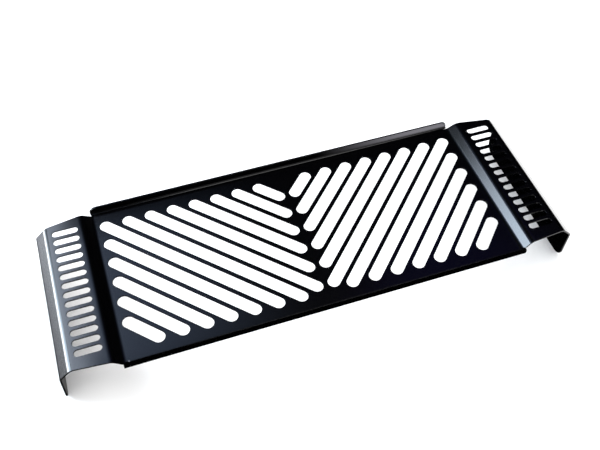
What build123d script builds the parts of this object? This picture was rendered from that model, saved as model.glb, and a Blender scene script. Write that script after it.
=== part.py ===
from build123d import *

import math
import os

# Motorcycle radiator guard: one slotted sheet with a stiffening flange along each long edge
# and a raised wing at each end that folds back around the side of the radiator.
# X runs along the guard, Y across it with the upper edge at +Y, and +Z points forward.
# The origin is under the middle of the guard, level with the free edges of its end flanges.

# Sheet and folds
sheet_thickness = 1.5
wing_fold_radius = 6.0  # inside radius of the folds on both sides of the wing
foot_fold_radius = 3.0  # inside radius of the fold between the bevel and the end flange
edge_fold_radius = 1.6  # inside radius of the folds along the long edges
end_fold_angle = 45.0  # slope of the step up to the wing and of the bevel beyond it
end_flange_lean = 2.6  # degrees by which the end flanges spread towards their free edges

# Section along X, taken on the front face
panel_front = 37.0  # height of the front face above the free edges of the end flanges
panel_half_length = 172.8  # middle of the panel to its end fold
wing_rise = 8.0
wing_width = 32.0
bevel_drop = 10.0

# Long edges
guard_half_height = 79.0  # middle of the guard to the outside of each edge flange
upper_flange_rise = 7.0  # above the front face of the panel
lower_flange_rise = 9.3
edge_flange_half_length = 173.5
edge_flange_corner = 6.0
edge_flange_foot_corner = 2.5  # at the fold, beside the slit

# Ends, whose edges step in from the straight edges of the panel by these amounts
relief_gap = 1.0  # slit between the end of the edge flange and the end fold
upper_inset_at_wing = 3.2
upper_inset_at_bevel = 8.4
lower_inset_at_wing = 1.5
lower_inset_at_bevel = 4.1
end_flange_upper_corner = 11.0
end_flange_lower_corner = 8.0

# Slots of the panel, in two mirrored halves at 45 degrees
slot_width = 10.6
slot_spacing = 20.0  # from slot to slot along the edges of the pattern
slot_upper_margin = 18.4  # outside of the upper flange to the row of slot ends
slot_lower_margin = 19.6
slot_end_margin = 10.3  # end fold to the column of slot ends
slot_middle_gap = 15.0  # between the slot ends of the two halves
shortest_slot_run = 12.0  # a slot with less rise than this is left out

# Slots of the wings, which run along X
wing_slot_width = 6.0
wing_slot_spacing = 9.05
wing_slot_end_margin = 5.0  # wing fold to the end of a slot
wing_slot_edge_margin = 5.0  # least distance from an edge of the wing to the middle of a slot

# Positions that follow from the sizes above
fold_tangent = math.tan(math.radians(end_fold_angle / 2))
fold_slope = math.tan(math.radians(end_fold_angle))
wing_front = panel_front + wing_rise
wing_start = panel_half_length + wing_rise / fold_slope
wing_end = wing_start + wing_width
bevel_end = wing_end + bevel_drop / fold_slope
bevel_foot = wing_front - bevel_drop
end_flange_slope = math.tan(math.radians(end_flange_lean))
guard_half_length = bevel_end + bevel_foot * end_flange_slope
panel_edge = guard_half_height - sheet_thickness - edge_fold_radius
relief_start = panel_half_length - wing_fold_radius * fold_tangent


def mirrored_path(half):
    """Points of the right half, preceded by the same points mirrored to the left."""
    return [(-x, y) for x, y in reversed(half)] + half


def folded_strip():
    """The sheet folded along X, before its outline and its slots are cut."""
    below = sheet_thickness  # carried on past the free edge, which the outline cuts level
    half = [
        (panel_half_length, panel_front),
        (wing_start, wing_front),
        (wing_end, wing_front),
        (bevel_end, bevel_foot),
        (guard_half_length + below * end_flange_slope, -below),
    ]
    crest = wing_fold_radius + sheet_thickness
    half_radii = [wing_fold_radius, crest, crest, foot_fold_radius + sheet_thickness]
    front_face = FilletPolyline(*mirrored_path(half), radius=half_radii[::-1] + half_radii)
    section = Face(front_face.wire().offset_2d(sheet_thickness, side=Side.RIGHT, closed=True))
    return extrude(Plane.XZ * section, guard_half_height, both=True)


def end_outline(inset_at_wing, inset_at_bevel):
    """One long edge of the end, as points from the panel outwards."""
    return [
        (relief_start, panel_edge),
        (relief_start, panel_edge - relief_gap),
        (panel_half_length, panel_edge - relief_gap),
        (wing_start, panel_edge - inset_at_wing),
        (wing_end, panel_edge - inset_at_bevel),
        (guard_half_length + sheet_thickness, panel_edge - inset_at_bevel),
    ]


def plan_outline():
    """Everything inside the outline of the folded strip, seen from the front."""
    upper = mirrored_path(end_outline(upper_inset_at_wing, upper_inset_at_bevel))
    lower = mirrored_path(end_outline(lower_inset_at_wing, lower_inset_at_bevel))
    outline = Polyline(*upper, *[(x, -y) for x, y in reversed(lower)], close=True)
    return extrude(make_face(outline), wing_front + sheet_thickness)


def edge_flange(flange_rise):
    """Flange along the upper edge, folded forward, with its corners rounded."""
    fold = CenterArc(
        (panel_edge, panel_front + edge_fold_radius),
        edge_fold_radius + sheet_thickness / 2,
        -90,
        90,
    )
    top = (guard_half_height - sheet_thickness / 2, panel_front + flange_rise)
    section = trace(fold + Line(fold @ 1, top), line_width=sheet_thickness)
    bar = extrude(Plane.YZ * section, edge_flange_half_length, both=True)

    rise = flange_rise + sheet_thickness
    elevation = Rectangle(2 * edge_flange_half_length, rise, align=(Align.CENTER, Align.MIN))
    elevation = fillet(elevation.vertices().group_by(Axis.Y)[0], edge_flange_foot_corner)
    elevation = fillet(elevation.vertices().group_by(Axis.Y)[-1], edge_flange_corner)
    elevation = Plane.XZ * Pos(0, panel_front - sheet_thickness) * elevation
    return bar & extrude(elevation, guard_half_height + sheet_thickness, both=True)


def chevron_slots():
    """Slots of the panel: the left half falls to the right, and the right half mirrors it."""
    upper_row = guard_half_height - slot_upper_margin
    lower_row = slot_lower_margin - guard_half_height
    column = panel_half_length - slot_end_margin
    slots_down = int((upper_row - lower_row) / slot_spacing)
    slots_along = int(column / slot_spacing)
    starts = [(-column, upper_row - slot_spacing * n) for n in range(slots_down + 1)]
    starts += [(-column + slot_spacing * n, upper_row) for n in range(1, slots_along + 1)]
    left_half = Sketch()
    for x, y in starts:
        run = min(y - lower_row, -slot_middle_gap / 2 - x)
        if run >= shortest_slot_run:
            slot = SlotCenterToCenter(run * math.sqrt(2), slot_width, rotation=-45)
            left_half += Pos(x + run / 2, y - run / 2) * slot
    return left_half + mirror(left_half, about=Plane.YZ)


def wing_slots():
    """Slots of both wings, as many as fit on both sides of the middle."""
    widest_inset = max(upper_inset_at_bevel, lower_inset_at_bevel)
    room = panel_edge - widest_inset - wing_slot_edge_margin
    count = int(2 * room / wing_slot_spacing) + 1
    slot = SlotOverall(wing_width - 2 * wing_slot_end_margin, wing_slot_width)
    middles = GridLocations(wing_start + wing_end, wing_slot_spacing, 2, count)
    return Sketch() + [middle * slot for middle in middles]


def through_cut(sketch, front):
    """The sketch as a cutter through the sheet whose front face is at this height."""
    return extrude(Pos(0, 0, front - sheet_thickness) * sketch, sheet_thickness * 3, both=True)


def guard_sheet():
    """The whole guard: the folded strip with its flanges, its slots and its rounded ends."""
    guard = folded_strip() & plan_outline()
    guard += edge_flange(upper_flange_rise)
    guard += mirror(edge_flange(lower_flange_rise), about=Plane.XZ)
    guard -= through_cut(chevron_slots(), panel_front)
    guard -= through_cut(wing_slots(), wing_front)
    # Counted along Y, the last row of free corners is the upper one and the first the lower one
    for row, corner in ((-1, end_flange_upper_corner), (0, end_flange_lower_corner)):
        free_corners = guard.edges().filter_by(Axis.X).group_by(Axis.Z)[0]
        guard = fillet(free_corners.group_by(Axis.Y)[row], corner)
    return guard


os.makedirs("parts", exist_ok=True)
export_step(guard_sheet(), "parts/guard_sheet.step")
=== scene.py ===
"""Studio picture of a black powder-coated motorcycle radiator guard."""

import logging
import math
from dataclasses import dataclass, field
from enum import Enum
from typing import Any, Union

import bpy
from mathutils import Matrix, Vector


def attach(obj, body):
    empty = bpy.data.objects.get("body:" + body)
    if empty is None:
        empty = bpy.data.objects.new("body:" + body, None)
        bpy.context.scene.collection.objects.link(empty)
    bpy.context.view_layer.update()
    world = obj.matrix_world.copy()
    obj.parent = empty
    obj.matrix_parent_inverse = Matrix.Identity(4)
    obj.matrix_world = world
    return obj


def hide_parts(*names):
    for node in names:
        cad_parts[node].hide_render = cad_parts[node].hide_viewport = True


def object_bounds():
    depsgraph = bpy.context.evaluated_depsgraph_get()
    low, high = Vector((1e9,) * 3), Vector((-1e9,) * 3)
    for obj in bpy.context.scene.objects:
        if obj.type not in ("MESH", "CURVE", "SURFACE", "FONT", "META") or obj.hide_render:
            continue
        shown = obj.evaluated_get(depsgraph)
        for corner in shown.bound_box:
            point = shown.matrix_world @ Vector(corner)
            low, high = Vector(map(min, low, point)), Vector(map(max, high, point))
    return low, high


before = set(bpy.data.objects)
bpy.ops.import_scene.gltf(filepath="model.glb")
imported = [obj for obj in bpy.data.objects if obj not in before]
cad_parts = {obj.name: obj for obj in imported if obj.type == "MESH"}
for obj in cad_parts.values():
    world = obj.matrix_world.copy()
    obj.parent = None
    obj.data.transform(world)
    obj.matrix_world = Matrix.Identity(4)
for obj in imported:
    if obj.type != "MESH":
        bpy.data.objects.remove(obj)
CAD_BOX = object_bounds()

LOG = logging.getLogger("radiator_guard")

Colour = tuple[float, float, float]
Point = tuple[float, float, float]

WHITE: Colour = (1.0, 1.0, 1.0)
BLACK: Colour = (0.0, 0.0, 0.0)
GUARD_MIDDLE: Point = (0.0, 0.0, 0.05)
NOISE_MIDDLE = 0.5  # mean value of a noise texture
LEVEL_AIM_OFFSET = 0.001  # keeps the width of a level soft box along X


class Facing(Enum):
    """Which way a level soft box faces, as the height that it is aimed at."""

    UP = 1.0
    DOWN = 0.0


class Fade(Enum):
    """The side of a soft box, as seen from behind it, that its light fades towards.

    The numbers are the axis across the box and the direction along it in which the light grows.
    """

    NONE = (0, 0.0)
    LEFT = (0, 1.0)
    RIGHT = (0, -1.0)
    BOTTOM = (1, 1.0)
    TOP = (1, -1.0)


class Signal:
    """A number carried by a shader socket, which Python's operators turn into Math nodes."""

    def __init__(self, graph: "ShaderGraph", socket: bpy.types.NodeSocket) -> None:
        """Wraps a socket.

        Args:
            graph: The graph that the socket's node belongs to.
            socket: The output that carries the number.
        """
        self.graph = graph
        self.socket = socket

    def _maths(self, operation: str, first: Any, second: Any) -> "Signal":
        """Adds one Math node.

        Args:
            operation: The node's operation.
            first: The first number or signal.
            second: The second number or signal.

        Returns:
            The result as a signal.
        """
        node = self.graph.node("ShaderNodeMath", {"operation": operation}, {0: first, 1: second})
        return Signal(self.graph, node.outputs[0])

    def __add__(self, other: Any) -> "Signal":
        """The sum of this and another number or signal."""
        return self._maths("ADD", self, other)

    __radd__ = __add__

    def __sub__(self, other: Any) -> "Signal":
        """This less another number or signal."""
        return self._maths("SUBTRACT", self, other)

    def __rsub__(self, other: Any) -> "Signal":
        """Another number or signal less this."""
        return self._maths("SUBTRACT", other, self)

    def __mul__(self, other: Any) -> "Signal":
        """The product of this and another number or signal."""
        return self._maths("MULTIPLY", self, other)

    __rmul__ = __mul__


class ShaderGraph:
    """The node tree of one material or light, built from plain calls."""

    def __init__(self, tree: bpy.types.NodeTree) -> None:
        """Takes over a tree and clears it.

        Args:
            tree: The node tree to fill.
        """
        self.tree = tree
        self.tree.nodes.clear()

    def node(self, kind: str, settings: dict[str, Any], inputs: dict[Union[str, int], Any]) -> bpy.types.Node:
        """Adds any node.

        Args:
            kind: The node's Blender type.
            settings: Properties of the node, set first.
            inputs: Socket names or numbers, with the value, socket or signal that each receives.

        Returns:
            The new node.
        """
        made = self.tree.nodes.new(kind)
        for name, value in settings.items():
            setattr(made, name, value)
        for key, value in inputs.items():
            if isinstance(value, Signal):
                value = value.socket
            if isinstance(value, bpy.types.NodeSocket):
                self.tree.links.new(value, made.inputs[key])
            else:
                made.inputs[key].default_value = value
        return made


@dataclass(frozen=True)
class PowderCoat:
    """Semi-gloss black powder coat, with the faint orange peel of a baked finish."""

    colour: Colour = (0.0005, 0.0005, 0.0008)
    roughness: float = 0.17
    roughness_spread: float = 0.03
    specular_level: float = 0.5
    mottle_per_metre: float = 40.0
    mottle_detail: float = 3.0
    peel_per_metre: float = 900.0
    peel_detail: float = 1.0
    peel_height: float = 0.00002
    peel_strength: float = 0.35

    def material(self) -> bpy.types.Material:
        """The finish as a material that reads Object coordinates.

        Returns:
            The material.
        """
        made = bpy.data.materials.new("black_powder_coat")
        made.use_nodes = True
        graph = ShaderGraph(made.node_tree)
        place = graph.node("ShaderNodeTexCoord", {}, {}).outputs["Object"]
        mottle = graph.node(
            "ShaderNodeTexNoise",
            {},
            {"Vector": place, "Scale": self.mottle_per_metre, "Detail": self.mottle_detail},
        )
        peel = graph.node(
            "ShaderNodeTexNoise",
            {},
            {"Vector": place, "Scale": self.peel_per_metre, "Detail": self.peel_detail},
        )
        unevenness = Signal(graph, mottle.outputs["Fac"]) - NOISE_MIDDLE
        bump = graph.node(
            "ShaderNodeBump",
            {},
            {"Strength": self.peel_strength, "Distance": self.peel_height, "Height": peel.outputs["Fac"]},
        )
        shader = graph.node(
            "ShaderNodeBsdfPrincipled",
            {},
            {
                "Base Color": (*self.colour, 1.0),
                "Roughness": self.roughness + self.roughness_spread * unevenness,
                "Specular IOR Level": self.specular_level,
                "Normal": bump.outputs["Normal"],
            },
        )
        graph.node("ShaderNodeOutputMaterial", {}, {"Surface": shader.outputs["BSDF"]})
        return made


@dataclass(frozen=True)
class MattPaper:
    """Matt studio paper of one colour."""

    name: str
    colour: Colour
    roughness: float = 0.9

    def material(self) -> bpy.types.Material:
        """The finish as a material.

        Returns:
            The material.
        """
        made = bpy.data.materials.new(self.name)
        made.use_nodes = True
        graph = ShaderGraph(made.node_tree)
        shader = graph.node(
            "ShaderNodeBsdfPrincipled",
            {},
            {
                "Base Color": (*self.colour, 1.0),
                "Roughness": self.roughness,
                "Specular IOR Level": 0.0,
            },
        )
        graph.node("ShaderNodeOutputMaterial", {}, {"Surface": shader.outputs["BSDF"]})
        return made


@dataclass
class GuardSheet:
    """The folded and slotted sheet: the CAD form, with its cut edges rounded by the coat.

    Lengths are in metres and angles in degrees.
    """

    node: str = "guard_sheet"
    merge_distance: float = 0.000001
    flat_within: float = 0.5
    edge_round: float = 0.0002
    round_steps: int = 2
    sharp_from: float = 40.0
    normal_weight: int = 50
    finish: PowderCoat = field(default_factory=PowderCoat)

    def build(self) -> bpy.types.Object:
        """Copies the CAD sheet, rounds its edges and coats it.

        Returns:
            The coated sheet, which stands for the CAD node.
        """
        sheet = self._joined_copy()
        self._round_edges(sheet)
        sheet.data.materials.clear()
        sheet.data.materials.append(self.finish.material())
        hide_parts(self.node)
        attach(sheet, "root")
        return sheet

    def _joined_copy(self) -> bpy.types.Object:
        """Copies the CAD node and joins its loose triangles into flat faces.

        Returns:
            The copy.
        """
        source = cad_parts[self.node]
        sheet = bpy.data.objects.new("coated_sheet", source.data.copy())
        bpy.context.scene.collection.objects.link(sheet)
        bpy.ops.object.select_all(action="DESELECT")
        sheet.select_set(True)
        bpy.context.view_layer.objects.active = sheet
        bpy.ops.object.mode_set(mode="EDIT")
        bpy.ops.mesh.select_all(action="SELECT")
        bpy.ops.mesh.customdata_custom_splitnormals_clear()
        bpy.ops.mesh.remove_doubles(threshold=self.merge_distance)
        bpy.ops.mesh.dissolve_limited(angle_limit=math.radians(self.flat_within))
        bpy.ops.mesh.select_all(action="DESELECT")
        bpy.ops.object.mode_set(mode="OBJECT")
        return sheet

    def _round_edges(self, sheet: bpy.types.Object) -> None:
        """Rounds every cut edge a little and smooths the folds.

        Args:
            sheet: The joined copy, which is the active object.
        """
        rounding = sheet.modifiers.new("edge_round", "BEVEL")
        rounding.width = self.edge_round
        rounding.segments = self.round_steps
        rounding.limit_method = "ANGLE"
        rounding.angle_limit = math.radians(self.sharp_from)
        rounding.use_clamp_overlap = False
        bpy.ops.object.modifier_apply(modifier=rounding.name)
        bpy.ops.object.shade_smooth()
        even = sheet.modifiers.new("even_normals", "WEIGHTED_NORMAL")
        even.mode = "FACE_AREA"
        even.weight = self.normal_weight
        bpy.ops.object.modifier_apply(modifier=even.name)


@dataclass
class Floor:
    """The plain floor that the guard stands on, a hair below its lowest edges."""

    size: float = 40.0
    drop: float = 0.0002
    finish: MattPaper = MattPaper("pale_sweep", (0.94, 0.94, 0.94))

    def build(self) -> bpy.types.Object:
        """Lays the floor under the free edges of the end flanges.

        Returns:
            The floor.
        """
        bpy.ops.object.select_all(action="DESELECT")
        bpy.ops.mesh.primitive_plane_add(size=self.size, location=(0.0, 0.0, CAD_BOX[0].z - self.drop))
        floor = bpy.context.object
        floor.name = "studio_floor"
        floor.data.materials.append(self.finish.material())
        floor.visible_glossy = False
        floor.visible_shadow = False
        return floor


@dataclass
class BlackCard:
    """A small upright card that keeps the left lights off the near flange's end."""

    place: Point = (-0.1745, -0.0778, 0.0500)
    height: float = 0.0200
    depth: float = 0.0105
    finish: MattPaper = MattPaper("black_paper", BLACK)

    def build(self) -> bpy.types.Object:
        """Stands the card square to X, out of the camera's sight.

        Returns:
            The card.
        """
        bpy.ops.object.select_all(action="DESELECT")
        bpy.ops.mesh.primitive_plane_add(size=1.0, location=self.place, rotation=(0.0, math.pi / 2, 0.0))
        card = bpy.context.object
        card.name = "black_card"
        card.scale = (self.height, self.depth, 1.0)
        card.data.materials.append(self.finish.material())
        card.visible_camera = False
        card.visible_diffuse = False
        return card


@dataclass
class SoftBox:
    """A rectangular studio light.

    Attributes:
        name: What the light is called.
        place: Its middle, in metres.
        aim: The point that it is aimed at, or the way that a level one faces.
        width: Its size in metres along its own X.
        height: Its size in metres along its own Y.
        brightness: How bright its face looks, with 1 for a white screen.
        colour: The colour of its light.
        fade: The side that its light fades towards.
        fade_share: The share of the box that the fade takes up.
        dimmest: The share of the brightness that is left at the faded side.
        in_reflections: Whether it shows in glossy surfaces.
        on_matt: Whether it lights matt surfaces.
    """

    name: str
    place: Point
    aim: Union[Point, Facing]
    width: float
    height: float
    brightness: float
    colour: Colour = WHITE
    fade: Fade = Fade.NONE
    fade_share: float = 1.0
    dimmest: float = 0.0
    in_reflections: bool = True
    on_matt: bool = True

    def build(self) -> bpy.types.Object:
        """Hangs the light, out of the camera's sight.

        Returns:
            The light's object.
        """
        lamp = bpy.data.lights.new(self.name, "AREA")
        lamp.shape = "RECTANGLE"
        lamp.size = self.width
        lamp.size_y = self.height
        lamp.energy = self.brightness * math.pi * self.width * self.height
        lamp.color = self.colour
        if self.fade is not Fade.NONE:
            self._fade_out(lamp)
        light = bpy.data.objects.new(self.name, lamp)
        light.location = self.place
        light.rotation_euler = (self._target() - light.location).to_track_quat("-Z", "Y").to_euler()
        light.visible_camera = False
        light.visible_glossy = self.in_reflections
        light.visible_diffuse = self.on_matt
        bpy.context.scene.collection.objects.link(light)
        return light

    def _target(self) -> Vector:
        """The point that the light is turned towards.

        Returns:
            The point, nearly straight above or below a level box.
        """
        if isinstance(self.aim, Facing):
            x, y, _ = self.place
            return Vector((x, y + LEVEL_AIM_OFFSET, self.aim.value))
        return Vector(self.aim)

    def _fade_out(self, lamp: bpy.types.Light) -> None:
        """Lets the brightness fall off towards one side.

        Args:
            lamp: The light's data.
        """
        axis, direction = self.fade.value
        start, end = (0.0, self.fade_share) if direction > 0 else (1.0, 1.0 - self.fade_share)
        lamp.use_nodes = True
        graph = ShaderGraph(lamp.node_tree)
        across = graph.node("ShaderNodeNewGeometry", {}, {}).outputs["Parametric"]
        parts = graph.node("ShaderNodeSeparateXYZ", {}, {"Vector": across})
        level = graph.node(
            "ShaderNodeMapRange",
            {"interpolation_type": "SMOOTHSTEP"},
            {
                "Value": parts.outputs[axis],
                "From Min": start,
                "From Max": end,
                "To Min": self.dimmest,
                "To Max": 1.0,
            },
        )
        glow = graph.node("ShaderNodeEmission", {}, {"Strength": level.outputs["Result"]})
        graph.node("ShaderNodeOutputLight", {}, {"Surface": glow.outputs["Emission"]})


@dataclass
class Studio:
    """Floor, lights and surroundings."""

    floor: Floor = field(default_factory=Floor)
    card: BlackCard = field(default_factory=BlackCard)
    surround: float = 1.0

    def lights(self) -> list[SoftBox]:
        """The lights of the set.

        Returns:
            Every light, not yet built.
        """
        return self._left_lights() + self._right_lights() + self._panel_lights() + self._floor_lights()

    def _left_lights(self) -> list[SoftBox]:
        """The lights that show in the left end.

        Returns:
            The lights, not yet built.
        """
        return [
            # The main light, which also falls on the floor
            SoftBox(
                "left_softbox", place=(-0.815, 0.455, 0.56), aim=(0.0, 0.0, 0.56),
                width=0.60, height=0.50, brightness=18.0, colour=(0.70, 0.85, 1.0),
                fade=Fade.LEFT, fade_share=0.70,
            ),
            # The bright line along the fold between the wing and the bevel
            SoftBox(
                "left_strip", place=(-0.815, 0.455, 0.20), aim=(0.0, 0.0, 0.20),
                width=0.60, height=0.34, brightness=26.0, colour=(0.90, 0.95, 1.0),
                fade=Fade.LEFT, fade_share=0.50, on_matt=False,
            ),
            # The bevel's grey
            SoftBox(
                "left_low_card", place=(-0.47, 0.19, 0.001), aim=Facing.UP,
                width=0.30, height=0.44, brightness=3.7, colour=(0.84, 0.89, 1.0),
                fade=Fade.TOP, fade_share=0.9, dimmest=0.3, on_matt=False,
            ),
            # The wing's sheen
            SoftBox(
                "wing_panel", place=(-0.355, 0.26, 0.43), aim=Facing.DOWN,
                width=0.23, height=0.36, brightness=7.2, colour=(0.73, 0.83, 1.0), on_matt=False,
            ),
            # The inside of the end flange
            SoftBox(
                "inner_card", place=(-0.196, -0.055, 0.0005), aim=Facing.UP,
                width=0.056, height=0.056, brightness=0.16, on_matt=False,
            ),
        ]

    def _right_lights(self) -> list[SoftBox]:
        """The lights that show in the right end.

        Returns:
            The lights, not yet built.
        """
        return [
            # The white bevel
            SoftBox(
                "right_low_card", place=(0.325, 0.05, 0.001), aim=Facing.UP,
                width=0.16, height=0.34, brightness=2.3, on_matt=False,
            ),
            # The pale line along the near edge
            SoftBox(
                "near_edge_card", place=(0.2335, -0.10, 0.001), aim=Facing.UP,
                width=0.053, height=0.06, brightness=1.0, on_matt=False,
            ),
        ]

    def _panel_lights(self) -> list[SoftBox]:
        """The lights that show in the panel and its edge flanges.

        Returns:
            The lights, not yet built.
        """
        return [
            # The grey band on the inside of the upper flange, which fades towards the middle
            SoftBox(
                "flange_card", place=(0.107, 0.0703, 0.0376), aim=Facing.UP,
                width=0.138, height=0.0125, brightness=3.1, colour=(0.92, 0.90, 1.0),
                fade=Fade.LEFT, fade_share=0.80, on_matt=False,
            ),
            # The left part's sheen, which fades towards the middle
            SoftBox(
                "panel_fill", place=(-0.0725, 0.235, 0.43), aim=Facing.DOWN,
                width=0.335, height=0.25, brightness=1.5, colour=(0.50, 0.66, 1.0),
                fade=Fade.RIGHT, on_matt=False,
            ),
            # The fold at the foot of the upper flange
            SoftBox(
                "overhead_box", place=(0.5, 0.0, 2.0), aim=GUARD_MIDDLE,
                width=1.0, height=1.0, brightness=3.5, on_matt=False,
            ),
            # A faint line along the upper flange
            SoftBox(
                "front_box", place=(1.4, -2.0, 0.9), aim=GUARD_MIDDLE,
                width=3.4, height=1.2, brightness=0.8, on_matt=False,
            ),
            # The deep blue of the near right corner
            SoftBox(
                "blue_fill", place=(0.69, 0.49, 1.36), aim=GUARD_MIDDLE,
                width=0.5, height=0.5, brightness=0.15, colour=(0.1, 0.08, 1.0),
            ),
        ]

    def _floor_lights(self) -> list[SoftBox]:
        """The lights that only whiten the floor.

        Returns:
            The lights, not yet built.
        """
        return [
            # Seen through the panel's slots
            SoftBox(
                "under_fill", place=(0.012, 0.02, 0.034), aim=Facing.DOWN,
                width=0.385, height=0.17, brightness=0.7, in_reflections=False,
            ),
            # Seen through the left wing's slots
            SoftBox(
                "wing_fill", place=(-0.194, 0.035, 0.040), aim=Facing.DOWN,
                width=0.028, height=0.13, brightness=2.4, fade=Fade.BOTTOM, in_reflections=False,
            ),
            # All around
            SoftBox(
                "floor_wash", place=(0.2, 0.5, 2.3), aim=GUARD_MIDDLE,
                width=3.0, height=3.0, brightness=1.7, in_reflections=False,
            ),
        ]

    def build(self) -> None:
        """Builds the set."""
        self.floor.build()
        self.card.build()
        for light in self.lights():
            light.build()
            LOG.info("light %s", light.name)
        world = bpy.data.worlds.new("studio")
        world.use_nodes = True
        backdrop = world.node_tree.nodes["Background"]
        backdrop.inputs["Color"].default_value = (*WHITE, 1.0)
        backdrop.inputs["Strength"].default_value = self.surround
        world.cycles_visibility.glossy = False
        bpy.context.scene.world = world
        bpy.context.scene.view_settings.view_transform = "Standard"


@dataclass
class PictureCamera:
    """The camera of the picture, 600 by 450 pixels.

    Places are in metres, angles in degrees, and the lens and sensor in millimetres.
    """

    place: Point = (-0.14182, -0.34945, 0.56196)
    heading: float = 18.718
    pitch: float = 53.765  # downwards from the level
    roll: float = 0.625
    lens: float = 44.475
    sensor: float = 36.0
    shift: float = 0.0359
    nearest: float = 0.01

    def build(self) -> bpy.types.Object:
        """Places the camera and makes it the scene's.

        Returns:
            The camera's object.
        """
        data = bpy.data.cameras.new("picture_camera")
        data.sensor_width = self.sensor
        data.lens = self.lens
        data.shift_x = self.shift
        data.clip_start = self.nearest
        camera = bpy.data.objects.new("picture_camera", data)
        turn = Matrix.Rotation(math.radians(-self.heading), 4, "Z")
        turn @= Matrix.Rotation(math.radians(90.0 - self.pitch), 4, "X")
        turn @= Matrix.Rotation(math.radians(self.roll), 4, "Z")
        camera.matrix_world = Matrix.Translation(self.place) @ turn
        bpy.context.scene.collection.objects.link(camera)
        bpy.context.scene.camera = camera
        return camera


def main() -> None:
    """Builds the guard, the set and the camera."""
    logging.basicConfig(level=logging.INFO, format="%(name)s: %(message)s")
    sheet = GuardSheet().build()
    LOG.info("guard sheet %s", sheet.name)
    Studio().build()
    PictureCamera().build()


if __name__ == "__main__":
    main()
